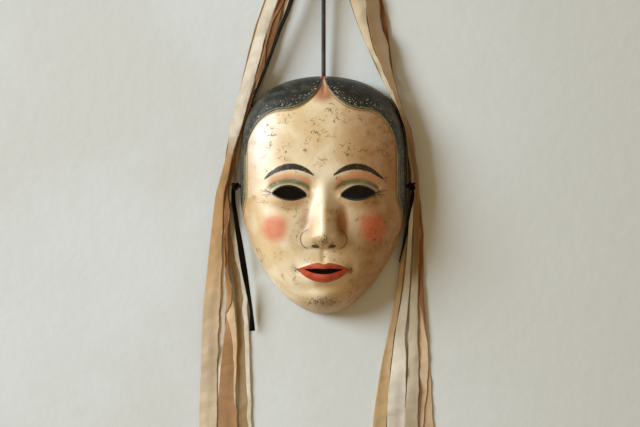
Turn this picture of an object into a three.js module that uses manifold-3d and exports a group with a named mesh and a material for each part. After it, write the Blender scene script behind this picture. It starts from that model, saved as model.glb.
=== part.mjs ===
// A painted wooden face mask that lies face up on its rim, with the cord and tape it
// hangs by, the two tapes it is tied on with and eight cloth strips knotted together above it.
// Millimetres. +Z comes out of the face, +Y points to the crown, the floor is z = 0.
import * as THREE from 'three';
import { mergeVertices } from 'three/addons/utils/BufferGeometryUtils.js';
import Module from 'manifold-3d';

// ---- driving dimensions ----
const HALF_WIDTH = 77;          // the face, half across at the eyes
const HALF_HEIGHT = 110;        // half from the crown to the chin
const DOME = 50;                // height of the face above the rim, without its features
const WALL = 6.5;               // thickness of the carved wood
const TEMPLE_FULLNESS = 0.5;    // how much wider than an ellipse the crown is, with its full hair
const JAW_TAPER = 0.16;         // how much narrower than an ellipse the jaw is
const SHELL_STEPS = 30;         // squares across the shell

const EYE_LINE = 0;             // the eyes lie halfway up the head
const UNIT = 2 * HALF_HEIGHT / 3.5;           // hairline to brow, brow to nose, nose to chin
const BROW_LINE = HALF_HEIGHT - 1.5 * UNIT;
const NOSE_BASE = BROW_LINE - UNIT;
const MOUTH_LINE = NOSE_BASE - UNIT / 3;
const EYE_WIDTH = 2 * HALF_WIDTH / 5;         // five eye widths across the head
const EYE_X = EYE_WIDTH;                      // one eye width between the eyes
const EYE_ABOVE = 7;                          // opening above and below the eye line
const EYE_BELOW = 4.4;
const EYE_SLANT = 0.9;                        // the outer corner is this much higher than the middle
const NOSE_RISE = 14;
const NOSE_TIP = NOSE_BASE + 11;
const NOSE_ROUND = 12;          // from the tip down to where the nose ends
const MOUTH_HALF = 17.5;                       // half the open slot between the lips
const MOUTH_GAP = 4.6;
const NOSTRIL_RADIUS = 2.4;

const TIE_HEIGHT = 14;          // holes for the tie tapes, above the rim
const TIE_Y = 8;
const TIE_HOLE_RADIUS = 2.8;
const KNOT_RADIUS = 4.2;
const CROWN_HOLE_HEIGHT = 7;    // hole for the hanging cord, above the rim
const CORD_RADIUS = 2;
const SIDE_HOLE = [-63.2, 79, 7];             // hole for the hanging tape
const SIDE_HOLE_WAY = [-0.5, 1, 0];

const STRIP_TOP = 320;          // cut ends of the strips above the binding
const STRIP_STEP = 20;          // distance between the slices of a strip
const CLOTH_SECTION = 10;       // a strip's section, in square mm: narrow places are thicker
const LEAST_THICK = 0.8;
const SIDE_GAP = 2.5;           // strips nearer than this to each other are laid one on the other
const GAP = 0.4;                // left between pieces that lie on each other
const DRAPE_SLOPE = 0.25;       // steepest rise of a strip that climbs onto another
const BINDING_Y = 292;
const BINDING_HALF = 10;        // half the length of the wrapped stretch
const BINDING_WALL = 2.8;

// ---- the face, as a height above the rim plane ----
const smoothstep = (start, end, v) => {
  const t = Math.min(1, Math.max(0, (v - start) / (end - start)));
  return t * t * (3 - 2 * t);
};
const bump = (x, y, cx, cy, sx, sy) => Math.exp(-(((x - cx) / sx) ** 2) - ((y - cy) / sy) ** 2);

// Everything that stands out of or sinks into the plain dome, split into raised and sunk.
function features(x, y) {
  const side = Math.abs(x);
  const below = Math.min(1, Math.max(0, (NOSE_TIP - y) / NOSE_ROUND));
  const cut = (1 - below ** 2.2) ** 0.65;
  const slope = Math.sin(Math.PI / 2 * Math.min(1, Math.max(0, (20 - y) / (20 - NOSE_TIP)))) ** 1.9;
  const noseWidth = 6.5 + 4.5 * smoothstep(10, NOSE_BASE + 6, y);
  const nose = NOSE_RISE * slope * cut * Math.exp(-((side / noseWidth) ** 2));
  const tip = 2.5 * cut * bump(x, y, 0, NOSE_TIP, 8, 9);
  const wings = 6 * cut * bump(side, y, 11.5, NOSE_BASE + 8, 5.5, 6.5);
  const brow = 2.4 * bump(side, y, 29, BROW_LINE, 19, 7);
  const lid = 7 * Math.exp(-((((side - EYE_X) / 18) ** 2 + ((y - EYE_LINE - 0.5) / 10.5) ** 2) ** 1.5));
  const cheek = 4 * bump(side, y, 40, NOSE_BASE + 20, 20, 20);
  const lips = 3.4 * bump(side, y, 0, MOUTH_LINE, 22, 11) + 2 * bump(side, y, 0, MOUTH_LINE + 4, 14, 3.2)
    + 2.8 * bump(side, y, 0, MOUTH_LINE - 7, 12, 3.6);
  const chin = 6 * bump(x, y, 0, -HALF_HEIGHT + 19, 16, 11);
  const hair = 1.5 * smoothstep(-0.7, 0.7, hairReach(x, y));
  const socket = 8 * bump(side, y, EYE_X - 2, EYE_LINE + 3, 17, 12);
  const underLip = 2.4 * bump(x, y, 0, MOUTH_LINE - 15.5, 15, 4);
  return {
    raised: nose + tip + wings + brow + lid + cheek + lips + chin + hair,
    sunk: socket + underLip,
  };
}

// How far inside the hair a place is: two lobes over the brow, then a band down each side.
function hairReach(x, y) {
  const side = Math.abs(x);
  const reach = x < 0 ? 35 : 31;
  const fall = Math.min(1, Math.max(0, (side - 36) / reach));
  const lobe = 77 + 24 * Math.max(0, 1 - side / 36) ** 2.2 + 9 * Math.exp(-side / 2.2)
    - 42 * (1 - Math.sqrt(1 - fall ** 2));
  const band = Math.min(side - 36 - reach - 7 * smoothstep(4, -34, y), y + 36);
  return Math.max(y - lobe, y < 60 ? band : -9);
}

// A point of the surface. u and v run from -1 to 1 over a square that is drawn out to a disc,
// then to the egg-shaped outline. inset is 0 on the outside and WALL on the inside.
function shellPoint(u, v, inset) {
  const dx = u * Math.sqrt(1 - v * v / 2);
  const dy = v * Math.sqrt(1 - u * u / 2);
  const radius = Math.min(1, Math.hypot(dx, dy));
  const spread = radius > 0 ? Math.sin(radius * Math.PI / 2) ** 0.9 / radius : Math.PI / 2;
  const across = dx * spread;
  const along = dy * spread;
  const x = (HALF_WIDTH - inset) * across * outlineFullness(along);
  const y = (HALF_HEIGHT - inset) * along;
  const dome = radius < 1 ? Math.cos(radius * Math.PI / 2) ** 0.75 : 0;
  const fade = smoothstep(0, 0.5, dome);
  const { raised, sunk } = features(x, y);
  const relief = inset ? 0.78 * raised - sunk : raised - sunk;
  return [x, y, (DOME - inset) * dome + relief * fade];
}

function outlineFullness(along) {
  return along > 0 ? 1 + TEMPLE_FULLNESS * along ** 2 : 1 - JAW_TAPER * (-along) ** 1.5;
}

// Half the width of the mask's outline at a height y up the face, 0 past the crown and chin.
function rimHalfWidth(y) {
  const along = y / HALF_HEIGHT;
  return Math.abs(along) < 1 ? HALF_WIDTH * Math.sqrt(1 - along ** 2) * outlineFullness(along) : 0;
}

// ---- meshes ----
function geometryOf(points, faces) {
  const geometry = new THREE.BufferGeometry();
  geometry.setAttribute('position', new THREE.Float32BufferAttribute(points.flat(), 3));
  geometry.setIndex(faces.flat());
  return geometry;
}

// Outer and inner skin of the mask, joined by a flat rim.
function shellGeometry() {
  const steps = SHELL_STEPS;
  const points = [];
  const faces = [];
  for (const inset of [0, WALL]) {
    for (let j = 0; j <= steps; j++) {
      for (let i = 0; i <= steps; i++) {
        points.push(shellPoint(2 * i / steps - 1, 2 * j / steps - 1, inset));
      }
    }
  }
  const inner = (steps + 1) ** 2;
  const at = (i, j) => j * (steps + 1) + i;
  for (let j = 0; j < steps; j++) {
    for (let i = 0; i < steps; i++) {
      const [a, b, c, d] = [at(i, j), at(i + 1, j), at(i + 1, j + 1), at(i, j + 1)];
      faces.push([a, b, c], [a, c, d]);
      faces.push([inner + a, inner + c, inner + b], [inner + a, inner + d, inner + c]);
    }
  }
  const rim = [];
  for (let i = 0; i < steps; i++) rim.push(at(i, 0));
  for (let j = 0; j < steps; j++) rim.push(at(steps, j));
  for (let i = steps; i > 0; i--) rim.push(at(i, steps));
  for (let j = steps; j > 0; j--) rim.push(at(0, j));
  rim.forEach((a, k) => {
    const b = rim[(k + 1) % rim.length];
    faces.push([a, inner + a, inner + b], [a, inner + b, b]);
  });
  return geometryOf(points, faces);
}

// A closed bar through a row of sections with the same number of corners.
function barGeometry(sections) {
  const corners = sections[0].length;
  const points = sections.flat();
  const faces = [];
  for (let s = 0; s + 1 < sections.length; s++) {
    for (let c = 0; c < corners; c++) {
      const a = s * corners + c;
      const b = s * corners + (c + 1) % corners;
      faces.push([a, b, b + corners], [a, b + corners, a + corners]);
    }
  }
  const last = (sections.length - 1) * corners;
  for (let c = 1; c + 1 < corners; c++) {
    faces.push([0, c + 1, c], [last, last + c, last + c + 1]);
  }
  return geometryOf(points, faces);
}

// A section across the Y axis: a rounded bar of the given width and height.
function roundSection(x, y, z, width, height, corners = 8) {
  const ring = [];
  for (let c = 0; c < corners; c++) {
    const turn = 2 * Math.PI * (c + 0.5) / corners;
    ring.push([x + width / 2 * Math.cos(turn), y, z + height / 2 * Math.sin(turn)]);
  }
  return ring;
}

// ---- booleans ----
const wasm = await Module();
wasm.setup();

function solidOf(geometry) {
  const plain = geometry.clone();
  plain.deleteAttribute('normal');
  plain.deleteAttribute('uv');
  const merged = mergeVertices(plain, 1e-4);
  return new wasm.Manifold(new wasm.Mesh({
    numProp: 3,
    vertProperties: new Float32Array(merged.attributes.position.array),
    triVerts: new Uint32Array(merged.index.array),
  }));
}

function geometryFrom(solid) {
  const mesh = solid.getMesh();
  const geometry = new THREE.BufferGeometry();
  geometry.setAttribute('position', new THREE.BufferAttribute(mesh.vertProperties, 3));
  geometry.setIndex(new THREE.BufferAttribute(mesh.triVerts, 1));
  return geometry;
}

function ball(x, y, z, rx, ry, rz) {
  const geometry = new THREE.IcosahedronGeometry(1, 1);
  geometry.scale(rx, ry, rz);
  geometry.translate(x, y, z);
  return solidOf(geometry);
}

// A round drill with its middle at a point, turned onto a direction.
function drill(centre, direction, radius, length) {
  const geometry = new THREE.CylinderGeometry(radius, radius, length, 12);
  const turn = new THREE.Quaternion().setFromUnitVectors(
    new THREE.Vector3(0, 1, 0), new THREE.Vector3(...direction).normalize());
  geometry.applyQuaternion(turn);
  geometry.translate(...centre);
  return solidOf(geometry);
}

// A flat shape pushed up through the whole mask.
function punch(shape, x, y) {
  const geometry = new THREE.ExtrudeGeometry(shape, { depth: 90, bevelEnabled: false });
  geometry.translate(x, y, 5);
  return solidOf(geometry);
}

// ---- the mask ----
// Outlines run left to right along the lower edge, then back along the upper one.
function outlineShape(half, steps, lower, upper) {
  const shape = new THREE.Shape();
  for (let k = 0; k < 2 * steps; k++) {
    const s = k <= steps ? 2 * k / steps - 1 : 3 - 2 * k / steps;
    const edge = k < steps ? lower : upper;
    if (k === 0) shape.moveTo(half * s, edge(s));
    else shape.lineTo(half * s, edge(s));
  }
  return shape;
}

function eyeShape(side) {
  const slant = (s) => side * EYE_SLANT * s;
  return outlineShape(EYE_WIDTH / 2, 12,
    (s) => slant(s) - EYE_BELOW * (1 - s * s), (s) => slant(s) + EYE_ABOVE * (1 - s * s) ** 0.85);
}

function mouthShape() {
  return outlineShape(MOUTH_HALF, 12, (s) => 1 - MOUTH_GAP * (1 - s * s), (s) => {
    const a = Math.abs(s);
    return 1.25 + 0.9 * Math.sin(Math.PI * a) * (1 - a);
  });
}

function maskShell() {
  let mask = solidOf(shellGeometry());
  for (const side of [-1, 1]) {
    mask = mask.subtract(punch(eyeShape(side), side * EYE_X, EYE_LINE));
    const nostril = [side * 6, NOSE_BASE, DOME + 5.5];
    mask = mask.subtract(drill(nostril, [side * 1.2, 9, -3.5], NOSTRIL_RADIUS, 19.5));
    const tie = [side * (HALF_WIDTH - WALL / 2), TIE_Y, TIE_HEIGHT];
    mask = mask.subtract(drill(tie, [1, 0, 0], TIE_HOLE_RADIUS, 6 * WALL));
  }
  mask = mask.subtract(punch(mouthShape(), 0, MOUTH_LINE));
  const crown = [0, HALF_HEIGHT - WALL / 2, CROWN_HOLE_HEIGHT];
  mask = mask.subtract(drill(crown, [0, 1, 0], CORD_RADIUS + 0.8, 6 * WALL));
  return geometryFrom(mask.subtract(drill(SIDE_HOLE, SIDE_HOLE_WAY, CORD_RADIUS + 1.2, 4 * WALL)));
}

// ---- the cloth strips ----
// Each strip runs down the floor from the binding: [height up the face, place across, seen width].
// They are laid in this order, so a later one lies on those before it.
const STRIPS = {
  strip_left_grey: [[320, -6.8, 8], [276, -6.8, 6], [181, -33.5, 5], [150, -43, 4], [98, -60, 4], [51, -76, 5],
    [9, -86, 7], [-7, -86.5, 8], [-56, -83, 10.5], [-86, -77, 11.5], [-135, -74.5, 11], [-216, -72.5, 12],
    [-310, -71, 12.5]],
  strip_left_white: [[312, -6.8, 7], [276, -6.8, 7], [181, -52, 7], [92, -76, 6], [28, -90, 5], [-47, -92.5, 5],
    [-98, -92.5, 5.5], [-135, -95, 6], [-170, -93, 10], [-304, -93, 12]],
  strip_left_peach: [[315, -6.8, 7], [276, -6.8, 7], [181, -39.5, 6], [152, -47.4, 8.4], [122, -54.6, 7],
    [93, -65, 5], [42, -83.2, 5.6], [9, -87.4, 8], [-30, -90, 5], [-56, -90, 4], [-84, -88, 6],
    [-104, -86.3, 7.5], [-126, -85.8, 11.7], [-183, -89.2, 16.5], [-216, -89.2, 17], [-316, -86, 15]],
  strip_left_cream: [[318, -6.8, 8], [276, -6.8, 8], [181, -47.1, 11.5], [151, -57.5, 11], [92, -73, 11.2],
    [64, -80.6, 10.8], [44, -84.6, 6.5], [9, -94, 8], [-7, -96.7, 8.4], [-56, -100, 13], [-98, -103.2, 15.8],
    [-130, -105, 15.8], [-216, -107.2, 16.5], [-320, -106, 17]],
  strip_right_olive: [[316, 6.8, 7], [276, 6.8, 6], [181, 26, 6], [154, 35, 5], [126, 47, 4], [98, 60, 3.5],
    [60, 73, 3.5], [20, 80, 3.5], [-9, 79, 3.5], [-51, 73.7, 3.5], [-88, 70, 4.5], [-135, 61.4, 7],
    [-183, 54.4, 11], [-216, 51.2, 14], [-308, 46, 14]],
  strip_right_rust: [[314, 6.8, 8], [276, 6.8, 7], [181, 52, 6], [126, 60, 5], [84, 67, 5], [55, 76, 6],
    [23, 81, 7.5], [9, 83, 8], [-23, 88, 8], [-51, 89.5, 7], [-95, 90, 7], [-135, 92, 9], [-183, 94.5, 11],
    [-216, 95, 13.5], [-320, 106.98, 17]],
  strip_right_white: [[311, 6.8, 8], [276, 6.8, 8], [181, 32, 15], [154, 37.2, 8.4], [137, 43, 5.5],
    [119, 51.6, 4], [92, 61.7, 5], [28, 82, 4], [-23, 80.5, 4], [-56, 79.4, 4.5], [-88, 77, 6.5],
    [-135, 71, 11], [-183, 68, 16], [-216, 67.5, 17], [-318, 65, 17]],
  strip_right_tan: [[319, 6.8, 8], [276, 6.8, 8], [181, 45, 13], [154, 48.4, 12.5], [137, 53.3, 14.5],
    [119, 57.7, 9], [101, 64, 5.5], [84, 68, 4], [48, 79, 5], [16, 85, 5], [-49, 86, 5], [-88, 84, 7],
    [-135, 83.5, 9], [-216, 82, 13], [-314, 80, 14]],
};

// Smooth curve through rows of [y, ...values] that run down in y, read at one height.
function along(rows, y) {
  let k = 0;
  while (k < rows.length - 2 && y < rows[k + 1][0]) k++;
  const [a, b] = [rows[k], rows[k + 1]];
  const before = rows[Math.max(0, k - 1)];
  const after = rows[Math.min(rows.length - 1, k + 2)];
  const span = b[0] - a[0];
  const t = Math.min(1, Math.max(0, (y - a[0]) / span));
  return a.slice(1).map((value, n) => {
    const slopeA = (b[n + 1] - before[n + 1]) / (b[0] - before[0]) * span;
    const slopeB = (after[n + 1] - value) / (after[0] - a[0]) * span;
    return value * (2 * t ** 3 - 3 * t ** 2 + 1) + slopeA * (t ** 3 - 2 * t ** 2 + t)
      + b[n + 1] * (3 * t ** 2 - 2 * t ** 3) + slopeB * (t ** 3 - t ** 2);
  });
}

// Height of the surface a strip lies on: the floor, or the lower wall of the binding.
function floorUnder(y) {
  const climb = (BINDING_WALL + GAP) * smoothstep(BINDING_Y - 60, BINDING_Y - BINDING_HALF - 12, y);
  return 0.3 + climb;
}

// Top of what is already laid under a slice, or 0 where nothing is.
function pileTop(done, { x, y, width }) {
  let top = 0;
  for (const other of done) {
    const near = Math.abs(other.y - y) <= STRIP_STEP;
    const shared = (other.width + width) / 2 + SIDE_GAP - Math.abs(other.x - x);
    if (near && shared > 0) top = Math.max(top, other.z + other.thick);
  }
  return top;
}

// Slices of every strip at the same heights, each lifted until it clears the strips under it.
function laidStrips() {
  const laid = {};
  const done = [];
  for (const [name, rows] of Object.entries(STRIPS)) {
    const top = rows[0][0];
    const bottom = rows[rows.length - 1][0];
    const heights = [top];
    for (let y = STRIP_TOP - STRIP_STEP; y > bottom + 2; y -= STRIP_STEP) {
      if (y < top - 2) heights.push(y);
    }
    heights.push(bottom);
    const slices = heights.map((y) => {
      const [x, width] = along(rows, y);
      const thick = Math.max(LEAST_THICK, CLOTH_SECTION / width);
      const rim = rimHalfWidth(y) + width / 2 + 1;
      return { x: Math.sign(x) * Math.max(Math.abs(x), rim), y, width, thick, z: floorUnder(y) };
    });
    for (const slice of slices) slice.z = Math.max(slice.z, pileTop(done, slice) + GAP);
    for (let s = 1; s < slices.length; s++) {
      const drop = DRAPE_SLOPE * Math.abs(slices[s].y - slices[s - 1].y);
      slices[s].z = Math.max(slices[s].z, slices[s - 1].z - drop);
    }
    for (let s = slices.length - 2; s >= 0; s--) {
      const drop = DRAPE_SLOPE * Math.abs(slices[s].y - slices[s + 1].y);
      slices[s].z = Math.max(slices[s].z, slices[s + 1].z - drop);
    }
    done.push(...slices);
    laid[name] = slices;
  }
  return laid;
}

function stripGeometry(slices) {
  return barGeometry(slices.map(({ x, y, z, width, thick }) => [
    [x + width / 2, y, z], [x + width / 2, y, z + thick],
    [x - width / 2, y, z + thick], [x - width / 2, y, z],
  ]));
}

// ---- cord, tapes and binding ----
// Knot against the side of the mask, a stub through the wall, and the tail down the floor.
// Tail rows are [height up the face, place across, height above the floor, width].
const TAIL_LEFT = [[6, -83, 14, 3], [-6, -83, 11, 3], [-28, -80, 8, 3.6], [-46, -77, 8, 4.8],
  [-65, -74, 8, 5.4], [-88, -70, 7, 3], [-107, -67, 5, 2], [-126, -66, 4, 4.8]];
const TAIL_RIGHT = [[6, 83, 14, 3], [-6, 81, 13, 3], [-24, 78, 10, 2.5], [-42, 75, 7, 2.2], [-62, 71, 3, 2]];
const TAPE_THICK = 1.2;

function tailGeometry(rows, under) {
  const top = rows[0][0];
  const bottom = rows[rows.length - 1][0];
  const steps = Math.round((top - bottom) / 8);
  const sections = [];
  for (let s = 0; s <= steps; s++) {
    const y = top + (bottom - top) * s / steps;
    const [x, height, width] = along(rows, y);
    const z = Math.max(height, pileTop(under, { x, y, width }) + GAP + TAPE_THICK / 2);
    sections.push(roundSection(x, y, z, width, TAPE_THICK));
  }
  return barGeometry(sections);
}

function tieTape(side, rows, under) {
  const knotX = side * (HALF_WIDTH + KNOT_RADIUS + 0.2);
  const inside = side * (HALF_WIDTH - WALL - KNOT_RADIUS - 1);
  const reach = Math.abs(knotX - inside);
  return geometryFrom(solidOf(tailGeometry(rows, under))
    .add(ball(knotX, TIE_Y, TIE_HEIGHT, KNOT_RADIUS, KNOT_RADIUS, KNOT_RADIUS * 0.85))
    .add(ball(inside, TIE_Y, TIE_HEIGHT, 3, 4, 4))
    .add(drill([(knotX + inside) / 2, TIE_Y, TIE_HEIGHT], [1, 0, 0], 1.5, reach)));
}

// The hanging cord: a knot inside the crown, then straight up to the binding.
function hangingCord() {
  const start = new THREE.Vector3(0, HALF_HEIGHT - WALL - 6, CROWN_HOLE_HEIGHT);
  const end = new THREE.Vector3(0, BINDING_Y + BINDING_HALF + 6, 14.6);
  const path = new THREE.CatmullRomCurve3([
    start, new THREE.Vector3(0, HALF_HEIGHT + 20, CROWN_HOLE_HEIGHT + 0.3),
    new THREE.Vector3(0, 240, 12), end]);
  const section = new THREE.Shape();
  section.absarc(0, 0, CORD_RADIUS, 0, 2 * Math.PI);
  const tube = new THREE.ExtrudeGeometry(section, {
    steps: 30, curveSegments: 5, bevelEnabled: false, extrudePath: path });
  return geometryFrom(solidOf(tube).add(ball(start.x, start.y, start.z, 4.5, 4, 4)));
}

// The hanging tape: a knot inside the mask's upper side, then up to the binding.
const HANGING_TAPE = [[306, -6, 14.6, 3.5], [276, -6, 14, 3.5], [240, -12, 13, 4], [181, -29, 12, 3.8],
  [152, -40.3, 11.5, 2.9], [122, -51.5, 10.5, 2.6], [98, -61.6, 8.5, 2.6], [90, -65.4, 7.5, 2.4],
  [86.5, -66.6, 7, 2.4], [83, -65.4, 7, 2.4], [79, -63.3, 7, 2.4], [66, -56.7, 7, 2.4]];

function hangingTape(under) {
  const [y, x, z] = HANGING_TAPE[HANGING_TAPE.length - 1];
  return geometryFrom(solidOf(tailGeometry(HANGING_TAPE, under)).add(ball(x, y - 1, z, 3.5, 3.5, 3.5)));
}

// Turns of cord round the gathered strips: a ridged section carried round a flattened ring.
function bindingGeometry() {
  const turns = 5;
  const halfWide = 13.5;
  const halfHigh = 6.8;
  const section = [[-BINDING_HALF, 0], [BINDING_HALF, 0]];
  for (let t = turns - 0.5; t > 0; t--) {
    const middle = BINDING_HALF * (2 * t / turns - 1);
    section.push([middle + BINDING_HALF / turns * 0.9, BINDING_WALL * 0.55], [middle, BINDING_WALL]);
  }
  section.push([-BINDING_HALF, BINDING_WALL * 0.55]);
  const rounds = 24;
  const centreZ = BINDING_WALL + halfHigh;
  const corners = section.length;
  const points = [];
  const faces = [];
  for (let r = 0; r < rounds; r++) {
    const turn = 2 * Math.PI * r / rounds;
    const square = (v) => Math.sign(v) * Math.abs(v) ** 0.4;
    for (const [y, out] of section) {
      points.push([(halfWide + out) * square(Math.cos(turn)), BINDING_Y + y,
        centreZ + (halfHigh + out) * square(Math.sin(turn))]);
    }
    for (let c = 0; c < corners; c++) {
      const a = r * corners + c;
      const b = r * corners + (c + 1) % corners;
      const next = (k) => (k + corners) % (rounds * corners);
      faces.push([a, next(b), b], [a, next(a), next(b)]);
    }
  }
  return geometryOf(points, faces);
}

// ---- the object ----
const paintedWood = new THREE.MeshStandardMaterial({ color: '#d9c9a3', roughness: 0.4 });
const blackTape = new THREE.MeshStandardMaterial({ color: '#14130f', roughness: 0.7 });
const brownCord = new THREE.MeshStandardMaterial({ color: '#2a1f18', roughness: 0.8 });
const cloth = {
  grey: '#b3a68c', cream: '#e3d4b8', white: '#ebe4d3', peach: '#d9b48c',
  tan: '#b99a6b', rust: '#9c6a3f', olive: '#a58d5c',
};

function named(name, geometry, material) {
  const mesh = new THREE.Mesh(geometry, material);
  mesh.name = name;
  return mesh;
}

const strips = laidStrips();
const laid = Object.values(strips).flat();
const object = new THREE.Group();
object.add(named('mask_shell', maskShell(), paintedWood));
object.add(named('tie_tape_left', tieTape(-1, TAIL_LEFT, laid), blackTape));
object.add(named('tie_tape_right', tieTape(1, TAIL_RIGHT, laid), blackTape));
object.add(named('hanging_cord', hangingCord(), brownCord));
object.add(named('hanging_tape', hangingTape(laid), blackTape));
object.add(named('cord_binding', bindingGeometry(), brownCord));
for (const [name, slices] of Object.entries(strips)) {
  const colour = cloth[name.split('_').pop()];
  const material = new THREE.MeshStandardMaterial({ color: colour, roughness: 0.95 });
  object.add(named(name, stripGeometry(slices), material));
}

export default object;
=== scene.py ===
import math

import bpy
import numpy as np
from mathutils import Matrix, Vector, noise


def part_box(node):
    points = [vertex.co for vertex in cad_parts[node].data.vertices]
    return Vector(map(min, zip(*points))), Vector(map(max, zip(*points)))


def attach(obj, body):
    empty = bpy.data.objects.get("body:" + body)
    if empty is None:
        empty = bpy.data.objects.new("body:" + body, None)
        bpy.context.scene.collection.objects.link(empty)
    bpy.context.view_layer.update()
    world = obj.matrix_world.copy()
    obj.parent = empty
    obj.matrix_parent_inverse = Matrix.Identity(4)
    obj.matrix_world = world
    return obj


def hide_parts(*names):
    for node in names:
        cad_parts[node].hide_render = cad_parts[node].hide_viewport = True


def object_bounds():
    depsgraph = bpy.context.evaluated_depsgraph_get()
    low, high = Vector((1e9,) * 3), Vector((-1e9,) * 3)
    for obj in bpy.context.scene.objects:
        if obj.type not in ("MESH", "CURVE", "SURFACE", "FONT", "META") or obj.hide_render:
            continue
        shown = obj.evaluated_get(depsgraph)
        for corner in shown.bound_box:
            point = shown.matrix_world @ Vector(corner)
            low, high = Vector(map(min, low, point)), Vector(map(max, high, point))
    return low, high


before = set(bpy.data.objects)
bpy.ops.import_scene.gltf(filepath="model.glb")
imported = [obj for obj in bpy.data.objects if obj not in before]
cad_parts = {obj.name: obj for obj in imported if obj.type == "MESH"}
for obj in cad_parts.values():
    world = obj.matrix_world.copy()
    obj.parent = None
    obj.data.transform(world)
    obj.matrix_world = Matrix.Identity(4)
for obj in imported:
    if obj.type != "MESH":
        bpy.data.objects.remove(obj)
cad_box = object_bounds()

# ---- Camera ----
# It looks straight down on the face as the mask lies on its back rim, from a good arm's
# length, so that the mask stands in the middle and the ribbons run out of the picture.
FACE_PLANE = 0.5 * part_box("mask_shell")[1].z
SEEN_WIDTH = 0.579
eye = bpy.data.cameras.new("camera")
eye.sensor_width = 36
eye.lens = 72
camera = bpy.data.objects.new("camera", eye)
camera.location = (-0.0033, -0.0172, FACE_PLANE + SEEN_WIDTH * eye.lens / eye.sensor_width)
bpy.context.scene.collection.objects.link(camera)
bpy.context.scene.camera = camera


# ---- Hanging cord ----
# A dark brown laid cord, knotted inside the crown, led out through a drilled hole and
# drawn straight up to the place where all the strips are bound together.
MM = 0.001


def colour(tone):
    """A chart colour, 0 to 255 for each part, as light; a colour from a node stays as it is."""
    if not isinstance(tone, tuple):
        return tone
    shares = [part / 255 for part in tone]
    light = [s / 12.92 if s <= 0.04045 else ((s + 0.055) / 1.055) ** 2.4 for s in shares]
    return (*light, 1.0)


def mesh_piece(name, points, faces, around=None, smooth_below=50):
    """A piece of the object from points in metres, with (across, along) in metres of each in around."""
    mesh = bpy.data.meshes.new(name)
    mesh.from_pydata([tuple(p) for p in np.asarray(points, float)], [], [tuple(f) for f in faces])
    if around is not None:
        layer = mesh.uv_layers.new(name="cloth")
        corners = np.zeros(len(mesh.loops), np.int32)
        mesh.loops.foreach_get("vertex_index", corners)
        layer.data.foreach_set("uv", np.asarray(around, float)[corners].ravel())
    mesh.validate()
    mesh.set_sharp_from_angle(angle=math.radians(smooth_below))
    piece = bpy.data.objects.new(name, mesh)
    bpy.context.scene.collection.objects.link(piece)
    return piece


def walked_along(path):
    """How far along a path each of its points is."""
    steps = np.diff(np.asarray(path, float)[:, :3], axis=0)
    return np.r_[0, np.cumsum(np.linalg.norm(steps, axis=1))]


def curve_through(rows, count):
    """Points on a smooth curve through the rows, evenly spread along it."""
    rows = np.asarray(rows, float)
    before = np.vstack([2 * rows[:1] - rows[1:2], rows, 2 * rows[-1:] - rows[-2:-1]])
    fine = []
    for k in range(len(rows) - 1):
        a, b, c, d = before[k:k + 4]
        for t in np.linspace(0, 1, 40, endpoint=False):
            fine.append(0.5 * (2 * b + (c - a) * t + (2 * a - 5 * b + 4 * c - d) * t ** 2
                               + (3 * b - a - 3 * c + d) * t ** 3))
    fine = np.array(fine + [rows[-1]])
    walked = walked_along(fine)
    even = np.linspace(0, walked[-1], count)
    return np.stack([np.interp(even, walked, fine[:, n]) for n in range(rows.shape[1])], axis=1)


def frames_along(path):
    """For each point of a path, the way across it and the way out of it, without any twist."""
    path = np.asarray(path, float)[:, :3]
    ahead = np.gradient(path, axis=0)
    ahead /= np.linalg.norm(ahead, axis=1)[:, None]
    out = np.array([0.0, 0.0, 1.0]) if abs(ahead[0][2]) < 0.9 else np.array([1.0, 0.0, 0.0])
    across, outward = [], []
    for way in ahead:
        out = out - way * np.dot(out, way)
        out = out / np.linalg.norm(out)
        outward.append(out)
        across.append(np.cross(way, out))
    return np.array(across), np.array(outward)


def sweep(path, section_at):
    """Points and faces of a solid rod: section_at(k) gives its outline at the k-th point of the path."""
    across, outward = frames_along(path)
    points, faces = [], []
    sections = [np.asarray(section_at(k), float) for k in range(len(path))]
    corners = len(sections[0])
    for k, section in enumerate(sections):
        centre = np.asarray(path[k], float)[:3]
        points.extend(centre + across[k] * a + outward[k] * b for a, b in section)
    for k in range(len(path) - 1):
        for c in range(corners):
            a, b = k * corners + c, k * corners + (c + 1) % corners
            faces.append((a, b, b + corners, a + corners))
    faces.append(tuple(reversed(range(corners))))
    faces.append(tuple(range(len(points) - corners, len(points))))
    return points, faces


def oval(wide, high, corners):
    """Outline of a round or oval section."""
    ring = np.linspace(0, 2 * math.pi, corners, endpoint=False)
    return [(wide * math.cos(a), high * math.sin(a)) for a in ring]


def laid_cord(path, radius, turn_length, strands=3, depth=0.07):
    """A round cord of tightly laid strands, whose grooves turn round it once in each turn_length."""
    walked = walked_along(path)
    ring = np.linspace(0, 2 * math.pi, 24, endpoint=False)

    def section(k):
        ridge = np.abs(np.cos(strands / 2 * (ring - 2 * math.pi * walked[k] / turn_length)))
        reach = radius * (1 - depth + depth * ridge ** 0.7)
        return np.stack([reach * np.cos(ring), reach * np.sin(ring)], axis=1)

    points, faces = sweep(path, section)
    return points, faces, [(radius * a, w) for w in walked for a in ring]


def operator(name):
    """A method that does one operation of the maths node."""
    return lambda value, *others: value.joined(name, *others)


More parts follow.
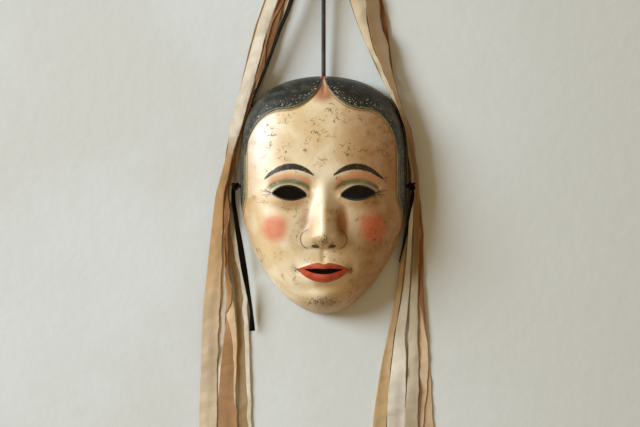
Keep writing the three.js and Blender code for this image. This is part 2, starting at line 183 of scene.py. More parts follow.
class Field:
    """A value that changes over a surface, written as plain arithmetic on shader nodes."""

    def __init__(self, socket):
        self.tree = socket.id_data
        self.socket = socket

    def joined(self, operation, *others):
        node = new_node(self.tree, "Math", dict(enumerate((self, *others))), operation=operation)
        return Field(node.outputs[0])

    __add__ = __radd__ = operator("ADD")
    __sub__ = operator("SUBTRACT")
    __mul__ = __rmul__ = operator("MULTIPLY")
    __truediv__ = operator("DIVIDE")
    __pow__ = operator("POWER")
    least = operator("MINIMUM")
    most = operator("MAXIMUM")
    size = operator("ABSOLUTE")
    root = operator("SQRT")
    wave = operator("SINE")
    power_of_e = operator("EXPONENT")

    def __rsub__(self, other):
        return self * -1.0 + other

    def near(self, at, reach):
        """1 where the value is at, and falling off smoothly within reach on both sides."""
        away = (self - at) / reach
        return (away * away * -1.0).power_of_e()

    def ramp(self, low, high):
        """0 up to low, 1 from high on, and smooth between them; high may be the smaller one."""
        ends = {"From Min": low, "From Max": high}
        if high < low:
            ends = {"From Min": high, "From Max": low, "To Min": 1, "To Max": 0}
        node = new_node(self.tree, "MapRange", {"Value": self, **ends}, interpolation_type="SMOOTHSTEP")
        return Field(node.outputs["Result"])


def set_inputs(node, values):
    """Link or set a node's inputs, by name or number: a Field, a socket or a plain value each."""
    for key, value in values.items():
        if isinstance(value, Field):
            value = value.socket
        if isinstance(value, bpy.types.NodeSocket):
            node.id_data.links.new(value, node.inputs[key])
        else:
            node.inputs[key].default_value = value


def new_node(tree, kind, values, **settings):
    node = tree.nodes.new("ShaderNode" + kind)
    for name, value in settings.items():
        setattr(node, name, value)
    set_inputs(node, values)
    return node


def parts_of(vector):
    parts = new_node(vector.id_data, "SeparateXYZ", {0: vector})
    return [Field(part) for part in parts.outputs]


def place_in_mm(tree):
    """The place on the object, in millimetres: the vector and its three parts."""
    where = new_node(tree, "TexCoord", {})
    scaled = new_node(tree, "VectorMath", {0: where.outputs["Object"], "Scale": 1000}, operation="SCALE")
    return scaled.outputs[0], *parts_of(scaled.outputs[0])


def mottle(vector, scale, detail=3, rough=0.55, blur=0, shift=(0, 0, 0)):
    """Soft cloudy variation between 0 and 1. Three scales stretch it along the three axes."""
    tree = vector.id_data
    if isinstance(scale, tuple):
        moved = new_node(tree, "Mapping", {"Scale": scale, "Location": shift, "Vector": vector})
        vector, scale = moved.outputs["Vector"], 1.0
    node = new_node(tree, "TexNoise", {"Scale": scale, "Detail": detail, "Roughness": rough,
                                       "Distortion": blur, "Vector": vector})
    return Field(node.outputs["Fac"])


def painted(under, *coats):
    """Coats laid over a colour, one after another: a colour and how far it covers for each."""
    for over, cover in coats:
        values = {0: cover, 6: colour(under), 7: colour(over)}
        under = new_node(cover.tree, "Mix", values, data_type="RGBA").outputs[2]
    return under


def new_finish(name):
    finish = bpy.data.materials.new(name)
    finish.use_nodes = True
    return finish, finish.node_tree, finish.node_tree.nodes["Principled BSDF"]


def raised(surface, height, distance, strength=1.0):
    """Relief too fine to model: height is a Field, distance is its full depth in metres."""
    bump = new_node(height.tree, "Bump", {"Strength": strength, "Distance": distance, "Height": height})
    set_inputs(surface, {"Normal": bump.outputs["Normal"]})


def new_group(name, takes, gives):
    """An empty effect with named sockets: {"Across": "NodeSocketFloat", ...}."""
    group = bpy.data.node_groups.new(name, "ShaderNodeTree")
    for label, kind in takes.items():
        group.interface.new_socket(name=label, in_out="INPUT", socket_type=kind)
    for label, kind in gives.items():
        group.interface.new_socket(name=label, in_out="OUTPUT", socket_type=kind)
    return group, group.nodes.new("NodeGroupInput"), group.nodes.new("NodeGroupOutput")


def place_group(tree, group, values):
    """An effect put into a material, with its inputs linked or set; returns its outputs by name."""
    return new_node(tree, "Group", values, node_tree=group).outputs


def across_and_along(tree):
    """The place on a woven piece: metres across its width and along its length."""
    layer = new_node(tree, "UVMap", {}, uv_map="cloth")
    return layer.outputs[0], *parts_of(layer.outputs[0])[:2]


# Dust and hand grease that has settled on any of the pieces: paler in a soft, patchy film.
dust, dust_in, dust_out = new_group(
    "settled dust",
    {"Place": "NodeSocketVector", "Colour": "NodeSocketColor", "Amount": "NodeSocketFloat"},
    {"Colour": "NodeSocketColor", "Roughness": "NodeSocketFloat"})
cloud = mottle(dust_in.outputs["Place"], 0.05, detail=4)
film = cloud.ramp(0.42, 0.72) * Field(dust_in.outputs["Amount"])
dulled = painted(dust_in.outputs["Colour"], ((176, 160, 132), film))
set_inputs(dust_out, {"Colour": dulled, "Roughness": film})


def dusted(place, tone, amount):
    return place_group(place.id_data, dust, {"Place": place, "Colour": tone, "Amount": amount})


def cord_finish():
    finish, tree, surface = new_finish("brown cord")
    place = place_in_mm(tree)[0]
    fibre = mottle(place, (4, 1.2, 4), detail=2)
    dyed = painted((26, 19, 12), ((66, 52, 38), fibre.ramp(0.4, 0.75)))
    dusty = dusted(place, dyed, 0.12)["Colour"]
    set_inputs(surface, {"Base Color": dusty, "Roughness": 0.72, "Sheen Weight": 0.25})
    raised(surface, fibre, 0.0003)
    return finish


def dress(pieces, finish):
    """Pieces of one finish, all fixed to the body of the mask."""
    for piece in pieces:
        piece.data.materials.append(finish)
        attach(piece, "root")


CORD_RADIUS = 2 * MM
CROWN_KNOT = np.array([0, 97.5, 7]) * MM
HANGING_CORD = np.array([[0, 97.5, 7], [0, 130, 7.3], [0, 240, 12], [0, 308, 14.6]]) * MM
brown_cord = cord_finish()
cord_line = curve_through(HANGING_CORD, 240)
points, faces, around = laid_cord(cord_line, CORD_RADIUS, 10 * MM)
hanging_cord = mesh_piece("drawn_cord", points, faces, around)


def knot(name, centre, spread, thickness, flat=1.0, tilt=0.0):
    """An overhand knot drawn tight, with the cord or tape crossing itself three times."""
    turn = np.linspace(0, 2 * math.pi, 120)
    loop = np.stack([np.sin(turn) + 2 * np.sin(2 * turn), np.cos(turn) - 2 * np.cos(2 * turn),
                     -1.3 * np.sin(3 * turn)], axis=1) / 3 * spread
    loop = loop @ np.array(Matrix.Rotation(tilt, 3, "Y")).T + centre
    shape = oval(thickness, thickness * flat, 10)
    points, faces = sweep(loop, lambda k: shape)
    around = [(c * thickness * 0.6, k * spread * 0.1) for k in range(len(loop)) for c in range(len(shape))]
    return mesh_piece(name, points, faces, around)


crown_knot = knot("crown_knot", CROWN_KNOT, 2.6 * MM, 1.7 * MM)
top_knot = knot("top_knot", HANGING_CORD[-1] + np.array([0, 4, -1]) * MM, 3.4 * MM, 1.9 * MM)
dress((hanging_cord, crown_knot, top_knot), brown_cord)
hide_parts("hanging_cord")


# ---- Tie tapes and hanging tape ----
# Three lengths of flat black woven tape. Two go through the temple holes, each with a knot
# inside and a knot outside, and their tails lie beside the face; the third goes up to the binding.
TAPE_WIDTH = 5.6 * MM
TAPE_THICK = 0.7 * MM
# Rows are [height up the face, place across, height above the floor, width that shows].
TAIL_LEFT = [[6, -83, 14, 3], [-6, -83, 11, 3], [-28, -80, 8, 3.6], [-46, -77, 8, 4.8],
             [-65, -74, 8, 5.4], [-88, -70, 7, 3], [-107, -67, 5, 2], [-126, -66, 4, 4.8]]
TAIL_RIGHT = [[6, 83, 14, 3], [-6, 81, 13, 3], [-24, 78, 10, 2.5], [-42, 75, 7, 2.2], [-62, 71, 3, 2]]
HANGING_TAPE = [[306, -6, 14.6, 3.5], [276, -6, 14, 3.5], [240, -12, 13, 4], [181, -29, 12, 3.8],
                [152, -40.3, 11.5, 2.9], [122, -51.5, 10.5, 2.6], [98, -61.6, 8.5, 2.6],
                [90, -65.4, 7.5, 2.4], [86.5, -66.6, 7, 2.4], [83, -65.4, 7, 2.4], [79, -63.3, 7, 2.4],
                [66, -56.7, 7, 2.4]]

# Plain weave: threads that pass over and under each other, with a height for the bump and a painted shade
# that is darker where a thread passes under.
weave, weave_in, weave_out = new_group(
    "plain weave",
    {"Across": "NodeSocketFloat", "Along": "NodeSocketFloat", "Threads": "NodeSocketFloat"},
    {"Height": "NodeSocketFloat", "Shade": "NodeSocketFloat"})
count = Field(weave_in.outputs["Threads"]) * (2 * math.pi)
warp = (Field(weave_in.outputs["Across"]) * count).wave()
weft = (Field(weave_in.outputs["Along"]) * count).wave()
crossing = warp * weft * 0.5 + 0.5
set_inputs(weave_out, {"Height": crossing, "Shade": crossing * 0.35 + 0.65})


def tape_finish():
    finish, tree, surface = new_finish("black tape")
    place = place_in_mm(tree)[0]
    _, across, along = across_and_along(tree)
    threads = place_group(tree, weave, {"Across": across, "Along": along, "Threads": 1500.0})
    shade = Field(threads["Shade"])
    brown_patches = mottle(place, 0.35, detail=4).ramp(0.62, 0.8) * 0.15
    # The black is painted paler on the crests of the threads and darker between them, as painted shade; a
    # few rubbed patches are a little browner.
    dyed = painted((4, 4, 3), ((11, 10, 8), shade.ramp(0.7, 1.0)), ((34, 29, 23), brown_patches))
    dusty = dusted(place, dyed, 0.03)["Colour"]
    set_inputs(surface, {"Base Color": dusty, "Roughness": 0.8, "Specular IOR Level": 0.12})
    raised(surface, Field(threads["Height"]), 0.00012)
    return finish


black_tape = tape_finish()


def flat_tape(name, rows):
    """A flat tape that turns on edge where less of its width shows."""
    line = curve_through([[x * MM, y * MM, z * MM, shown * MM] for y, x, z, shown in rows], 110)
    turn = np.arccos(np.clip(line[:, 3] / TAPE_WIDTH, 0.3, 1))
    corner = [(-0.5, -0.5), (-0.17, -0.5), (0.17, -0.5), (0.5, -0.5),
              (0.5, 0.5), (0.17, 0.5), (-0.17, 0.5), (-0.5, 0.5)]

    def section(k):
        cos, sin = math.cos(turn[k]), math.sin(turn[k])
        flat = [(a * TAPE_WIDTH, b * TAPE_THICK) for a, b in corner]
        return [(a * cos - b * sin, a * sin + b * cos) for a, b in flat]

    points, faces = sweep(line, section)
    walked = walked_along(line)
    around = [(a * TAPE_WIDTH + b * TAPE_THICK, w) for w in walked for a, b in corner]
    return mesh_piece(name, points, faces, around), line[:, :3]


TIE_Y, TIE_Z, TIE_KNOT_X, TIE_INSIDE_X = (v * MM for v in (8, 14, 81.4, 65.3))
for side, node, rows in ((-1, "tie_tape_left", TAIL_LEFT), (1, "tie_tape_right", TAIL_RIGHT)):
    name = node.removeprefix("tie_tape_")
    tail, line = flat_tape(name + "_tie_tail", rows)
    outside = np.array([side * TIE_KNOT_X, TIE_Y, TIE_Z])
    inside = np.array([side * TIE_INSIDE_X, TIE_Y, TIE_Z])
    outer = knot(name + "_tie_knot", outside, 3.0 * MM, 1.5 * MM, 0.7, 0.6)
    inner = knot(name + "_inner_knot", inside, 2.2 * MM, 1.3 * MM, 0.7)
    run = np.linspace(inside, outside, 8)
    points, faces = sweep(run, lambda k: oval(1.6 * MM, 1.1 * MM, 10))
    stub = mesh_piece(name + "_tie_stub", points, faces, [(0, 0)] * len(points))
    dress((tail, outer, inner, stub), black_tape)
    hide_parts(node)

hanging_tape, line = flat_tape("drawn_tape", HANGING_TAPE[::-1])
tape_knot = knot("tape_inner_knot", np.array([-56.2, 65, 7]) * MM, 2.2 * MM, 1.3 * MM, 0.7)
dress((hanging_tape, tape_knot), black_tape)
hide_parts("hanging_tape")


# ---- Mask ----
# One piece of light wood, carved to a face in front and hollowed behind, gessoed, painted
# and lacquered, then worn through at the nose, mouth, chin and rim.
HALF_WIDTH, HALF_HEIGHT, DOME, WALL = 77, 110, 50, 6.5
TEMPLE_FULLNESS, JAW_TAPER = 0.5, 0.16
UNIT = 2 * HALF_HEIGHT / 3.5
EYE_LINE = 0
BROW_LINE = HALF_HEIGHT - 1.5 * UNIT
NOSE_BASE = BROW_LINE - UNIT
NOSE_TIP = NOSE_BASE + 11
MOUTH_LINE = NOSE_BASE - UNIT / 3
EYE_WIDTH = 2 * HALF_WIDTH / 5
EYE_X, EYE_HALF = EYE_WIDTH, EYE_WIDTH / 2
EYE_ABOVE, EYE_BELOW, EYE_SLANT = 7.0, 4.4, 0.9
LOBE_FOOT, LOBE_RISE, LOBE_HALF, LOBE_DROP = 77, 24, 36, 42
PEAK_RISE, PEAK_WIDTH = 9, 2.2
BAND_LEFT, BAND_RIGHT, BAND_END = 35.0, 31.0, -36
NOSE_RISE, NOSE_ROUND = 14, 12
LIPS_HALF, MOUTH_HALF, MOUTH_GAP = 24, 17.5, 4.6


def smoothstep(start, end, value):
    t = np.clip((value - start) / (end - start), 0, 1)
    return t * t * (3 - 2 * t)


def bell(x, y, at_x, at_y, wide, high):
    return np.exp(-((x - at_x) / wide) ** 2 - ((y - at_y) / high) ** 2)


def hair_reach(x, y):
    """How far inside the hair a place is: its two lobes over the brow, then a band down each side."""
    side = np.abs(x)
    reach = np.where(x < 0, BAND_LEFT, BAND_RIGHT)
    lobe = LOBE_FOOT + LOBE_RISE * np.clip(1 - side / LOBE_HALF, 0, 1) ** 2.2
    lobe = lobe + PEAK_RISE * np.exp(-side / PEAK_WIDTH)
    fall = np.clip((side - LOBE_HALF) / reach, 0, 1)
    lobe = lobe - LOBE_DROP * (1 - np.sqrt(1 - fall ** 2))
    band = np.minimum(side - LOBE_HALF - reach - 7 * smoothstep(4, -34, y), y - BAND_END)
    return np.maximum(y - lobe, np.where(y < 60, band, -9))


def eye_edges(side):
    """Upper and lower edge of an eye opening, for a distance from the middle of the face."""
    s = np.clip((side - EYE_X) / EYE_HALF, -1, 1)
    tilt = EYE_SLANT * s
    upper = EYE_LINE + EYE_ABOVE * (1 - s ** 2) ** 0.85 + tilt
    return upper, EYE_LINE - EYE_BELOW * (1 - s ** 2) + tilt


def lip_edges(side):
    """Upper and lower edge of the painted lips."""
    s = np.clip(side / LIPS_HALF, 0, 1)
    upper = MOUTH_LINE + 1 + 6.4 * (1 - s ** 1.7) - 1.8 * np.exp(-(side / 3.4) ** 2)
    lower = MOUTH_LINE + 1 - 12 * (1 - s ** 2) ** 0.9
    return upper, lower


def features(x, y):
    """What stands out of the plain dome, and what sinks into it."""
    side = np.abs(x)
    below = np.clip((NOSE_TIP - y) / NOSE_ROUND, 0, 1)
    cut = (1 - below ** 2.2) ** 0.65
    slope = np.sin(np.pi / 2 * np.clip((20 - y) / (20 - NOSE_TIP), 0, 1)) ** 1.9
    width = 6.5 + 4.5 * smoothstep(10, NOSE_BASE + 6, y)
    nose = NOSE_RISE * slope * cut * np.exp(-(side / width) ** 2)
    tip = 2.5 * bell(x, y, 0, NOSE_TIP, 8, 9) * cut
    wings = 6 * bell(side, y, 11.5, NOSE_BASE + 8, 5.5, 6.5) * cut
    brow = 2.4 * bell(side, y, 29, BROW_LINE, 19, 7)
    round_eye = ((side - EYE_X) / 18) ** 2 + ((y - EYE_LINE - 0.5) / 10.5) ** 2
    lid = 7 * np.exp(-round_eye ** 1.5)
    crease = 1.1 * np.exp(-((np.sqrt(round_eye) - 1.12) / 0.1) ** 2) * smoothstep(0, 6, y - EYE_LINE)
    upper, lower = eye_edges(side)
    outside = np.maximum(np.maximum(y - upper, lower - y), (np.abs(side - EYE_X) - EYE_HALF))
    rim = 0.9 * np.exp(-((outside - 0.8) / 1.3) ** 2)
    cheek = 4 * bell(side, y, 40, NOSE_BASE + 20, 20, 20)
    upper_lip, lower_lip = lip_edges(side)
    inside = np.minimum(upper_lip - y, y - lower_lip)
    lips = 3.4 * bell(side, y, 0, MOUTH_LINE, 22, 11)
    lips += 2.0 * bell(side, y, 0, MOUTH_LINE + 4, 14, 3.2) + 2.8 * bell(side, y, 0, MOUTH_LINE - 7, 12, 3.6)
    lips += 0.7 * smoothstep(-0.8, 0.8, inside) * smoothstep(25, 22, side)
    chin = 6 * bell(x, y, 0, -HALF_HEIGHT + 19, 16, 11)
    socket = 8 * bell(side, y, EYE_X - 2, EYE_LINE + 3, 17, 12)
    under_lip = 2.4 * bell(x, y, 0, MOUTH_LINE - 15.5, 15, 4)
    corner = 1.6 * bell(side, y, 25, MOUTH_LINE + 1, 4, 4)
    philtrum = 1.1 * np.exp(-(side / 2.6) ** 2) * smoothstep(MOUTH_LINE + 4, MOUTH_LINE + 9, y)
    philtrum = philtrum * smoothstep(NOSE_BASE + 1, NOSE_BASE - 4, y)
    hair = 1.5 * smoothstep(-0.7, 0.7, hair_reach(x, y))
    parting = 1.2 * np.exp(-(side / 1.6) ** 2) * smoothstep(88, 96, y)
    return (nose + tip + wings + brow + lid + rim + cheek + lips + chin + hair,
            socket + crease + under_lip + corner + philtrum + parting)


def shell_points(steps, inset):
    """One skin of the mask as a square net of points, drawn out to the egg-shaped outline."""
    u, v = np.meshgrid(np.linspace(-1, 1, steps + 1), np.linspace(-1, 1, steps + 1))
    dx, dy = u * np.sqrt(1 - v ** 2 / 2), v * np.sqrt(1 - u ** 2 / 2)
    radius = np.minimum(1, np.hypot(dx, dy))
    spread = np.where(radius > 1e-6, np.sin(radius * np.pi / 2) ** 0.9 / np.maximum(radius, 1e-6), np.pi / 2)
    across, along = dx * spread, dy * spread
    full = np.where(along > 0, 1 + TEMPLE_FULLNESS * along ** 2, 1 - JAW_TAPER * np.abs(along) ** 1.5)
    x = (HALF_WIDTH - inset) * across * full
    y = (HALF_HEIGHT - inset) * along
    dome = np.where(radius < 1, np.maximum(np.cos(radius * np.pi / 2), 0) ** 0.75, 0)
    up, down = features(x, y)
    relief = (0.78 * up if inset else up) - down
    z = (DOME - inset) * dome + relief * smoothstep(0, 0.5, dome)
    return np.stack([x, y, z], axis=-1).reshape(-1, 3)


def net_faces(steps, first, flipped):
    faces = []
    for j in range(steps):
        for i in range(steps):
            a = first + j * (steps + 1) + i
            square = (a, a + 1, a + steps + 2, a + steps + 1)
            faces.append(square[::-1] if flipped else square)
    return faces


def net_border(steps, first):
    row = steps + 1
    border = [i for i in range(steps)] + [j * row + steps for j in range(steps)]
    border += [steps * row + i for i in range(steps, 0, -1)] + [j * row for j in range(steps, 0, -1)]
    return [first + k for k in border]


COARSER = 4                       # the hollow is carved four times as coarsely as the face
FRONT_STEPS = 280
front = shell_points(FRONT_STEPS, 0)
back = shell_points(FRONT_STEPS // COARSER, WALL)
# Flat marks of a gouge all over the hollow.
for k, point in enumerate(back):
    cell = noise.voronoi(Vector(point) * 0.11)[0]
    back[k][2] -= 0.0 if point[2] < 1 else 0.9 * (0.5 - cell[0])
faces = net_faces(FRONT_STEPS, 0, False) + net_faces(FRONT_STEPS // COARSER, len(front), True)
outer = net_border(FRONT_STEPS, 0)
inner = net_border(FRONT_STEPS // COARSER, len(front))
for k, a in enumerate(inner):
    b = inner[(k + 1) % len(inner)]
    span = [outer[(COARSER * k + n) % len(outer)] for n in range(COARSER + 1)]
    faces += [(span[n], a, span[n + 1]) for n in range(COARSER)]
    faces.append((span[-1], a, b))
mask = mesh_piece("carved_mask", np.vstack([front, back]) * MM, faces, smooth_below=180)


def prism(outline, low, high):
    """A straight-sided cutter over a flat outline in millimetres."""
    count = len(outline)
    points = [(x, y, low) for x, y in outline] + [(x, y, high) for x, y in outline]
    faces = [(k, (k + 1) % count, count + (k + 1) % count, count + k) for k in range(count)]
    faces += [tuple(reversed(range(count))), tuple(range(count, 2 * count))]
    return np.array(points), faces


def gouge(start, end, radius):
    """A round cutter from one point to another."""
    return sweep(np.array([start, end], float), lambda k: oval(radius, radius, 20))


CUT_LOW, CUT_HIGH, TIE_HOLE_RADIUS = 5, 90, 2.8
cutters = []
for side in (-1, 1):
    s = np.linspace(-1, 1, 41)
    upper, lower = eye_edges(EYE_X + s * EYE_HALF)
    rim_line = [(x, y) for x, y in zip(s, lower)] + [(x, y) for x, y in zip(s[-2:0:-1], upper[-2:0:-1])]
    outline = [(side * (EYE_X + x * EYE_HALF), y) for x, y in rim_line]
    cutters.append(prism(outline[::side], CUT_LOW, CUT_HIGH))
    cutters.append(gouge((side * 5.8, NOSE_BASE - 7, DOME + 12), (side * 8, NOSE_BASE + 9, DOME + 2), 2.7))
    cutters.append(gouge((side * 90, 8, 14), (side * 60, 8, 14), TIE_HOLE_RADIUS))
s = np.linspace(-1, 1, 31)
mouth_low = MOUTH_LINE + 1 - MOUTH_GAP * (1 - s ** 2)
mouth_high = MOUTH_LINE + 1 + 0.9 * np.sin(np.pi * np.abs(s)) * (1 - np.abs(s))
outline = list(zip(MOUTH_HALF * s, mouth_low))
outline += list(zip(MOUTH_HALF * s[-2:0:-1], mouth_high[-2:0:-1] + 0.25))
cutters.append(prism(outline, CUT_LOW, CUT_HIGH))
cutters.append(gouge((0, 90, 7), (0, 125, 7), TIE_HOLE_RADIUS))
cutters.append(gouge((-56.7, 66, 7), (-69.7, 92, 7), 3.2))
points, faces = [], []
for more, sides in cutters:
    faces += [tuple(len(points) + k for k in side) for side in sides]
    points += list(more)
cutter = mesh_piece("cutter", np.array(points) * MM, faces)
cut = mask.modifiers.new("openings", "BOOLEAN")
cut.operation = "DIFFERENCE"
cut.solver = "MANIFOLD"
cut.object = cutter
bpy.context.view_layer.update()
carved = bpy.data.meshes.new_from_object(mask.evaluated_get(bpy.context.evaluated_depsgraph_get()))
mask.modifiers.clear()
mask.data = carved
bpy.data.objects.remove(cutter)
carved.materials.clear()
carved.set_sharp_from_angle(angle=math.radians(40))

# Bare wood: long pores and pale and dark rings along the carving.
wood, wood_in, wood_out = new_group(
    "bare wood", {"Place": "NodeSocketVector"}, {"Colour": "NodeSocketColor", "Height": "NodeSocketFloat"})
place = wood_in.outputs["Place"]
rings = mottle(place, (0.12, 0.012, 0.12), blur=0.6)
pores = mottle(place, (2.2, 0.12, 2.2), detail=2)
tone = painted((122, 84, 48), ((176, 132, 84), rings.ramp(0.35, 0.65)),
               ((84, 54, 29), pores.ramp(0.56, 0.7) * 0.6))
set_inputs(wood_out, {"Colour": tone, "Height": pores})


def from_middle(side, y, at_side, at_y, wide, high):
    """How far out in an oval a place is: 0 in its middle, 1 on its edge."""
    return (((side - at_side) / wide) ** 2 + ((y - at_y) / high) ** 2).root()


def ivory_with_make_up(place, x, y, side, fine_cloud):
    """Ivory ground, yellowed by hands and varnish in the hollows, with painted shade down the right side, a
    painted highlight on the left of the brow, blush, tinted lids and a coral parting.
    """
    cloud = mottle(place, 0.028, detail=4, blur=0.3)
    # Amber patina in the hollows beside the nose, under the eyes and lips, at the outer sides and under the
    # chin; the right side of the face is also painted darker all over, with stronger patina there, as
    # painted shade.
    patina_and_shade = side.near(16, 7) * y.near(NOSE_BASE + 22, 20) * (1.0 + x.ramp(0, 8) * 0.6)
    for more in (side.near(EYE_X, 19) * y.near(-9, 6) * 0.8,
                 side.near(15, 7) * y.near(7, 10) * 0.9,
                 side.near(0, 20) * y.near(MOUTH_LINE - 16, 4) * 0.5,
                 side.ramp(48, 76) * 0.85, y.ramp(-84, -108) * 0.5, x.ramp(0, 44)):
        patina_and_shade = patina_and_shade.most(more)
    blush = from_middle(side, y, 44, -30, 13.5, 14.5).ramp(1.25, 0.45) * (0.72 + fine_cloud * 0.4)
    scratch = mottle(place, (0.9, 0.22, 0.5), detail=4)
    # Dark brown scratched streaks over the blush of the right cheek only, as painted shade.
    brown_patches = scratch.ramp(0.56, 0.68) * blush * x.ramp(20, 34)
    arch = ((side - EYE_X) / (EYE_HALF + 5)) ** 2
    over_lid = y - EYE_LINE - 8 + arch * 6.5
    peach = over_lid.near(8, 4.6) * (1 - arch).ramp(-0.1, 0.35)
    green = over_lid.near(3.1, 2.7) * (1 - arch).ramp(0.0, 0.35)
    return painted(
        (236, 222, 190),
        ((220, 194, 148), cloud.ramp(0.38, 0.62)),
        # Painted highlight: the left of the brow is painted paler, where the light falls on it.
        ((250, 244, 232), x.ramp(-34, -64) * y.ramp(8, 40) * 0.8),
        ((196, 160, 106), fine_cloud.ramp(0.52, 0.72) * 0.45),
        ((150, 100, 42), patina_and_shade * (0.52 + fine_cloud * 0.5)),
        ((208, 106, 68), blush * 0.88),
        ((122, 62, 36), brown_patches * 0.6),
        ((204, 126, 72), peach * 0.6),
        ((72, 86, 50), green * (0.5 + fine_cloud * 0.8).least(0.95)),
        ((166, 98, 56), from_middle(side, y, 0, 93, 14, 13).ramp(1.1, 0.35) * 0.85))


def brow_strokes(place, side, y):
    """A tapering arch of dry brush strokes, with the gaps the bristles left in it."""
    reach = (side - 31) / 22
    spine = BROW_LINE + 9 - (reach * reach) * 9 - reach * 1.5
    bristle = mottle(place, (0.9, 2.6, 0.5))
    thick = (1 - reach * reach * 0.92).most(0.02).root() * 2.8
    off = (y - spine).size() - thick - (bristle - 0.5) * 3.4
    return off.ramp(0.45, -0.35) * reach.size().ramp(1.05, 0.98), bristle.ramp(0.6, 0.72) * 0.6


def eye_lines(y, side):
    """The black outline of an eye with its drawn-out point and lashes, and the distance from its edge."""
    s = (side - EYE_X) / EYE_HALF
    bow = (1 - s * s).most(0.0)
    above = y - (EYE_LINE + (bow ** 0.85) * EYE_ABOVE + s * EYE_SLANT)
    below = (EYE_LINE - bow * EYE_BELOW + s * EYE_SLANT) - y
    rim = above.most(below)
    liner = rim.ramp(1.75, 1.15) * s.size().ramp(1.06, 0.98)
    tail = y - (EYE_LINE + 1 + (side - EYE_X - 15) * 0.35)
    black = liner.most(tail.near(0, 0.7) * side.ramp(45, 46.5) * side.ramp(56, 50))
    for slope, start, length in ((0.75, 47.5, 7), (0.45, 49, 9), (-0.15, 48, 8), (-0.45, 46.5, 7)):
        line = (y - (side - start) * slope).near(EYE_LINE + 0.5, 0.45)
        stroke = line * side.ramp(start, start + 0.8) * side.ramp(start + length, start + length - 2)
        black = black.most(stroke * 0.75)
    return black, rim


def lip_paint(y, side, drift, fine_cloud):
    """Where the lips are painted, and their colour, darker along the edge."""
    m = (side / LIPS_HALF).least(1.0)
    top = MOUTH_LINE + 1 + (1 - m ** 1.7) * 6.4 - side.near(0, 3.4) * 1.8
    low = MOUTH_LINE + 1 - ((1 - m * m).most(0.0) ** 0.9) * 12
    inside = (top - y).least(y - low) + drift * 0.12
    shade = painted((170, 58, 34), ((194, 84, 52), fine_cloud.ramp(0.4, 0.65)),
                    ((120, 34, 20), inside.ramp(1.2, 0.1) * 0.5))
    return inside.ramp(-0.25, 0.3) * side.ramp(LIPS_HALF + 0.4, LIPS_HALF - 0.8), shade


def above_hair_edge(place, x, y, side):
    """How far inside the painted hair a place is, with the unevenness of a brush line."""
    reach = BAND_LEFT - x.ramp(-1, 1) * (BAND_LEFT - BAND_RIGHT)
    lobe = LOBE_FOOT + ((1 - side / LOBE_HALF).most(0.0) ** 2.2) * LOBE_RISE
    lobe = lobe + (side / -PEAK_WIDTH).power_of_e() * PEAK_RISE
    fall = ((side - LOBE_HALF) / reach).most(0.0).least(1.0)
    edge = lobe - (1 - (1 - fall * fall).root()) * LOBE_DROP
    band = (side - LOBE_HALF - reach - y.ramp(4, -34) * 7).least(y - BAND_END) - y.ramp(56, 60) * 20
    return (y - edge).most(band) + (mottle(place, 0.5) - 0.5) * 0.9


def fine_cracks(tree, place, x, y, side):
    """Short branching cracks in patches, mostly on the brow and under the eyes."""
    bend = new_node(tree, "TexNoise", {"Scale": 0.16, "Vector": place})
    stronger = new_node(tree, "VectorMath", {0: bend.outputs["Color"], "Scale": 9.0}, operation="SCALE")
    warped = new_node(tree, "VectorMath", {0: place, 1: stronger.outputs[0]}, operation="ADD")
    cells = new_node(tree, "TexVoronoi", {"Scale": 0.14, "Vector": warped.outputs[0]},
                     feature="DISTANCE_TO_EDGE")
    split = Field(cells.outputs["Distance"]).ramp(0.03, 0.006)
    forehead = x.near(4, 46) * y.near(52, 24)
    cheeks = side.near(36, 20) * y.near(-18, 16) * 0.6
    where = mottle(place, 0.06, detail=2) + forehead.most(cheeks) * 0.14
    return split * where.ramp(0.57, 0.66) * mottle(place, 0.24, detail=2).ramp(0.46, 0.56)


def handled_most(x, y, side):
    """Where handling has worn the paint: the tip of the nose, round the mouth and the chin."""
    worn = x.near(0, 7) * y.near(NOSE_BASE + 6, 7)
    worn = worn.most(side.near(24, 5) * y.near(MOUTH_LINE, 4))
    worn = worn.most(x.near(0, 24) * y.near(-97, 6.5))
    return worn.most(side.near(13, 10) * y.near(MOUTH_LINE + 9, 3) * 0.6)


def aged(tree, coat, place, x, y, z, side, above_edge, hair):
    """The paint after years of use, with how broken up it is and how deep the damage goes."""
    thin = fine_cracks(tree, place, x, y, side) * (1 - hair)
    grit = mottle(place, 0.62, detail=4, rough=0.65)
    grain = mottle(place, 1.5, rough=0.7)
    # White priming shows through the hair, wood and dirt show dark in the face.
    flake = mottle(place, (0.5, 0.8, 0.5), rough=0.6, shift=(0, 0, 40))
    near_edge = above_edge.near(5, 5) * hair
    white_chip = (flake + near_edge * 0.07).ramp(0.69, 0.71)
    white_chip = white_chip.most((grit + near_edge * 0.06).ramp(0.71, 0.73)) * hair
    worn = handled_most(x, y, side)
    bare = (grit * 0.6 + grain * 0.4 + worn * 0.17).ramp(0.66, 0.69) * (1 - hair)
    speck = grain.ramp(0.74, 0.77) * (1 - hair) * 0.8
    # Along the rim the paint has rubbed off to brown wood.
    rim_bare = (z + (grit - 0.5) * 3.2).ramp(3.2, 1.6)
    timber = place_group(tree, wood, {"Place": place})["Colour"]
    coat = painted(
        coat,
        ((168, 132, 84), worn * (0.4 + grit * 0.6) * 0.35),
        ((205, 196, 172), white_chip),
        (painted(timber, ((52, 36, 22), grain.ramp(0.4, 0.6))), bare),
        ((66, 50, 34), (thin * 0.85).most(speck)),
        (timber, rim_bare))
    broken = bare.most(thin).most(rim_bare).most(white_chip * 0.7)
    return coat, broken, thin * 0.7 + bare * 0.5 + white_chip * 0.4 + rim_bare * 0.5


